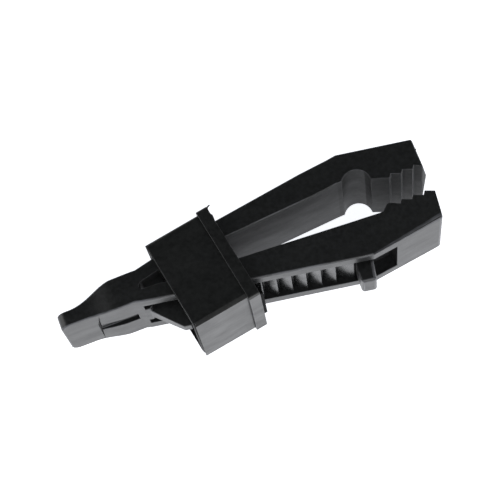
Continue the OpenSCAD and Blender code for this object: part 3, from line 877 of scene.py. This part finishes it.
# Half the barrel's height and its corner radius, then the flats and the lean
COLLAR_HALF, COLLAR_R, FLAT_WIDTH, FLAT_DROP, WALL_LEAN = 12.7, 0.7, 1.1, 0.4, 0.3
# The wall that carries the catch, and half the collar's opening
CATCH_WALL, OPENING_HALF = -14.757, 11.6
BARREL_R, FLANGE_RIM_R, FLANGE_R = 0.07, 0.1, 0.15
# How far forward the rear end moves, and how much more of it on the far side;
# then how far forward the ease behind it and the low slant's end move
END_SHIFT, FAR_SHIFT, EASE_SHIFT, SLANT_SHIFT = 0.3, 0.2, 0.12, -0.3


def barrel_rule(a, b):
    """A hair's width on every edge but those that meet the flange."""
    return 0 if both(a, b, X, FLANGE_BACK) else BARREL_R


def worn_barrel(place):
    """Shortens the slants at the rear end, and flattens the two low long corners."""
    shift = Vector()
    if abs(place.x - COLLAR_BACK) < SAME:
        shift.x = END_SHIFT + FAR_SHIFT * (place.y > 4)
    elif abs(place.x - COLLAR_BACK - RIM_EASE) < SAME:
        shift.x = EASE_SHIFT
    elif abs(place.x - COLLAR_BACK - RIM_SLOPE) < SAME and place.y < LOW_WALL + 0.8:
        shift.x = SLANT_SHIFT
    out, up = LOW_WALL + COLLAR_R - place.y, abs(place.z) - COLLAR_HALF + COLLAR_R
    if min(out, up) > -0.01 and abs(math.hypot(out, up) - COLLAR_R) < SAME:
        part = math.atan2(out, up) / (math.pi / 2)
        wall = LOW_WALL + WALL_LEAN * (place.z > 0)
        shift.y = wall + FLAT_WIDTH * (1 - part) - place.y
        shift.z = math.copysign(COLLAR_HALF - FLAT_DROP * part, place.z) - place.z
    return shift


def rear_face(normal, place):
    """The rear end, where the mould closed on itself, is dull."""
    return 2.0 * (normal.x < -0.9)


def flange_rule(a, b):
    """Rounds the flange's front and back edges, but not where it meets the barrel."""
    inner = abs(a.z) < OPENING_HALF and abs(b.z) < OPENING_HALF
    if both(a, b, X, FLANGE_FRONT):
        return FLANGE_R if inner else FLANGE_RIM_R
    if both(a, b, X, FLANGE_BACK):
        return 0 if inner else FLANGE_R
    return 0


def catch_rule(a, b):
    """Rounds the catch where it stands clear of the flange and the wall."""
    touches = both(a, b, X, FLANGE_FRONT) or both(a, b, Y, CATCH_WALL, 0.03)
    return 0 if touches else CRISP_R


collar_barrel = softened("collar_barrel", barrel_rule, collar_axes, move=worn_barrel,
                         dull=rear_face)
collar_flange = softened("collar_flange", flange_rule, collar_axes)
collar_catch = softened("collar_catch", catch_rule, collar_axes)
dress(collar_barrel, "collar_barrel", "collar", collar_nylon)
dress(collar_flange, "collar_flange", "collar", collar_nylon)
# The catch's darker plastic is painted shade
dress(collar_catch, "collar_catch", "collar", catch_nylon_painted_shade)

# %% [markdown]
# ## The gate mark
# The melt entered the collar's mould at a corner of the flange. The runner is
# torn off there, which leaves a thread of plastic along the flange's front
# edge and a thorn at the corner. It is a tube through a few stations, each
# with its own thickness.

# %% Make the torn gate
# Each station along the collar, across it, and half the thread's thickness
STATIONS = ((22.50, 2.8, 0.04), (22.55, 3.4, 0.14), (22.60, 4.1, 0.20),
            (22.62, 4.7, 0.22), (22.48, 5.15, 0.12), (22.44, 5.9, 0.15),
            (22.45, 6.5, 0.20), (22.62, 6.83, 0.21), (22.86, 6.95, 0.19),
            (23.12, 7.04, 0.17), (23.38, 7.12, 0.14), (23.48, 7.14, 0.05))
GATE_Z, GATE_SIDES, RAGGED = 13.1, 10, 0.12


def from_collar(u, v, z):
    """A model point from millimetres along the collar, across it, and up."""
    c, n = math.cos(COLLAR_TURN), math.sin(COLLAR_TURN)
    return (Vector((u * c - v * n, u * n + v * c, z)) + DRAWN_AT) * MM


def torn_gate():
    """A closed tube through the stations, a little ragged all round."""
    bm = bmesh.new()
    rings = []
    for i, (u, v, thick) in enumerate(STATIONS):
        u0, v0, _ = STATIONS[max(0, i - 1)]
        u1, v1, _ = STATIONS[min(len(STATIONS) - 1, i + 1)]
        ahead = Vector((u1 - u0, v1 - v0, 0)).normalized()
        beside = Vector((-ahead.y, ahead.x, 0))
        ring = []
        for k in range(GATE_SIDES):
            turn = 2 * math.pi * k / GATE_SIDES
            rag = 1 + RAGGED * math.sin(3 * turn + 1.7 * i)
            out = beside * (thick * rag * math.cos(turn))
            z = GATE_Z + thick * rag * math.sin(turn)
            ring.append(bm.verts.new(from_collar(u + out.x, v + out.y, z)))
        rings.append(ring)
    for one, two in zip(rings, rings[1:]):
        for k in range(GATE_SIDES):
            m = (k + 1) % GATE_SIDES
            bm.faces.new((one[k], one[m], two[m], two[k]))
    bm.faces.new(rings[0])
    bm.faces.new(rings[-1])
    bmesh.ops.recalc_face_normals(bm, faces=bm.faces[:])
    return bm


gate = rounded(torn_gate(), "collar_torn_gate", lambda a, b: 0, collar_axes,
               sharp_from=80)
dress(gate, None, "collar", collar_nylon)

# %% [markdown]
# ## Light and floor
# The clamp lies in a white tent. Dark plastic shows little of its own colour:
# it shows what it mirrors. The faces turned to the viewer mirror the dim top
# of the tent and stay black, and the faces turned down mirror the white floor
# at a low angle and turn pale grey. So the floor and the sky matter more here
# than the lamps.

# %% World, floor and lights
FLOOR_GLOW, FLOOR_HALF = 0.945, 3.0
AIM_AT = Vector((0, 0, 0.01))
scene.view_settings.view_transform = "Standard"
world = bpy.data.worlds.new("soft_white_tent")
scene.world = world
world.use_nodes = True
wt = world.node_tree
wt.nodes.clear()
coord = add(wt, "ShaderNodeTexCoord")
split = add(wt, "ShaderNodeSeparateXYZ", Vector=(coord, "Generated"))
ramp = add(wt, "ShaderNodeValToRGB", Fac=(split, "Z"))
ramp.color_ramp.elements[0].position = 0.05
ramp.color_ramp.elements[0].color = linear("#F2F3F4")
ramp.color_ramp.elements[1].position = 0.75
ramp.color_ramp.elements[1].color = linear("#565859")
# The wall on the left is farther away and dimmer; the roof is open to the front
leftward = grey_range(wt, (split, "X"), 0.45, 1.0, -1.0, 0.1)
frontward = grey_range(wt, (split, "Y"), 0.0, 0.45, 0.1, -0.6)
walls = add(wt, "ShaderNodeBackground", Color=(ramp, "Color"),
            Strength=(leftward, "Result"))
roof = add(wt, "ShaderNodeBackground", Color=linear("#FFFFFF"),
           Strength=(frontward, "Result"))
tent = add(wt, "ShaderNodeAddShader", None, at_0=(walls, 0), at_1=(roof, 0))
add(wt, "ShaderNodeOutputWorld", Surface=(tent, "Shader"))

floor_mat = bpy.data.materials.new("matte_white_sweep")
floor_mat.use_nodes = True
ft = floor_mat.node_tree
ft.nodes.clear()
paper = add(ft, "ShaderNodeBsdfDiffuse", Color=linear("#F4F4F4"))
# The sweep is lit from below as well, so that it stays white in its own mirror
glow = add(ft, "ShaderNodeEmission", Color=linear("#F8FAFF"), Strength=FLOOR_GLOW)
paper_and_glow = add(ft, "ShaderNodeAddShader", None, at_0=(paper, 0), at_1=(glow, 0))
add(ft, "ShaderNodeOutputMaterial", Surface=(paper_and_glow, "Shader"))
bm = bmesh.new()
bmesh.ops.create_grid(bm, x_segments=1, y_segments=1, size=FLOOR_HALF)
floor_mesh = bpy.data.meshes.new("floor")
bm.to_mesh(floor_mesh)
bm.free()
floor_mesh.materials.append(floor_mat)
floor = bpy.data.objects.new("floor", floor_mesh)
scene.collection.objects.link(floor)


def area_light(name, place, size, power):
    """A round softbox, size metres wide, turned to the clamp."""
    data = bpy.data.lights.new(name, "AREA")
    data.shape = "DISK"
    data.size = size
    data.energy = power
    light = bpy.data.objects.new(name, data)
    light.location = place
    aim = AIM_AT - Vector(place)
    light.rotation_euler = aim.to_track_quat("-Z", "Y").to_euler()
    scene.collection.objects.link(light)


area_light("left_softbox", (-0.7, 0.25, 0.35), size=0.5, power=1.5)
area_light("front_softbox", (0.15, -0.9, 0.42), size=0.8, power=4)
